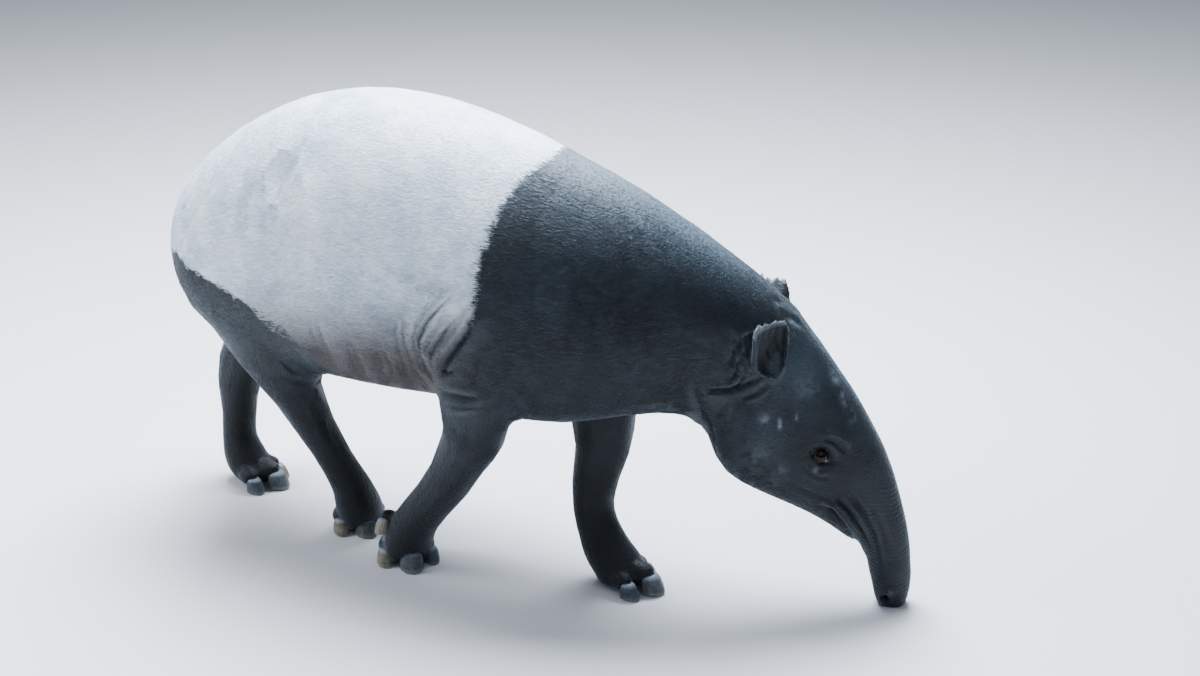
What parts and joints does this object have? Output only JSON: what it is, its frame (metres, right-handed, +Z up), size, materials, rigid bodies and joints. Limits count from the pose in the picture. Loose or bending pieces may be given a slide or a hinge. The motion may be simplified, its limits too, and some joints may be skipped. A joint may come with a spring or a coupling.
{
  "type": "malayan tapir",
  "caption": "Life-size malayan tapir in a slow walk, head down and turned left, with the tip of its trunk on the ground.",
  "frame": {"origin": "on the floor below the middle of the whole animal's bounding box", "axes": "+X towards the head along the body, +Y to the animal's left, +Z up"},
  "size_m": [1.7174, 0.584, 1.0458],
  "materials": {
    "coat_black": "short charcoal hair lying flat on thick skin",
    "coat_white": "short greyish white hair lying flat on thick skin",
    "eye": "wet dark brown eye",
    "hoof": "worn grey horn"
  },
  "bodies": {
    "root": {"torso": "coat_white", "shoulders": "coat_black", "hindquarters": "coat_black", "neck": "coat_black", "head": "coat_black", "lower_jaw": "coat_black", "snout": "coat_black", "tail": "coat_black", "ear_left": "coat_black", "ear_right": "coat_black", "eye_left": "eye", "eye_right": "eye", "foreleg_right_upper": "coat_black", "foreleg_right_lower": "coat_black", "foreleg_right_foot": "coat_black", "foreleg_left_upper": "coat_black", "foreleg_left_lower": "coat_black", "foreleg_left_foot": "coat_black", "hindleg_right_upper": "coat_black", "hindleg_right_lower": "coat_black", "hindleg_right_foot": "coat_black", "hindleg_left_upper": "coat_black", "hindleg_left_lower": "coat_black", "hindleg_left_foot": "coat_black", "hoof_foreleg_right_middle": "hoof", "hoof_foreleg_right_inner": "hoof", "hoof_foreleg_right_outer": "hoof", "hoof_foreleg_right_small": "hoof", "hoof_foreleg_left_middle": "hoof", "hoof_foreleg_left_inner": "hoof", "hoof_foreleg_left_outer": "hoof", "hoof_foreleg_left_small": "hoof", "hoof_hindleg_right_middle": "hoof", "hoof_hindleg_right_inner": "hoof", "hoof_hindleg_right_outer": "hoof", "hoof_hindleg_left_middle": "hoof", "hoof_hindleg_left_inner": "hoof", "hoof_hindleg_left_outer": "hoof"}
  },
  "joints": []
}
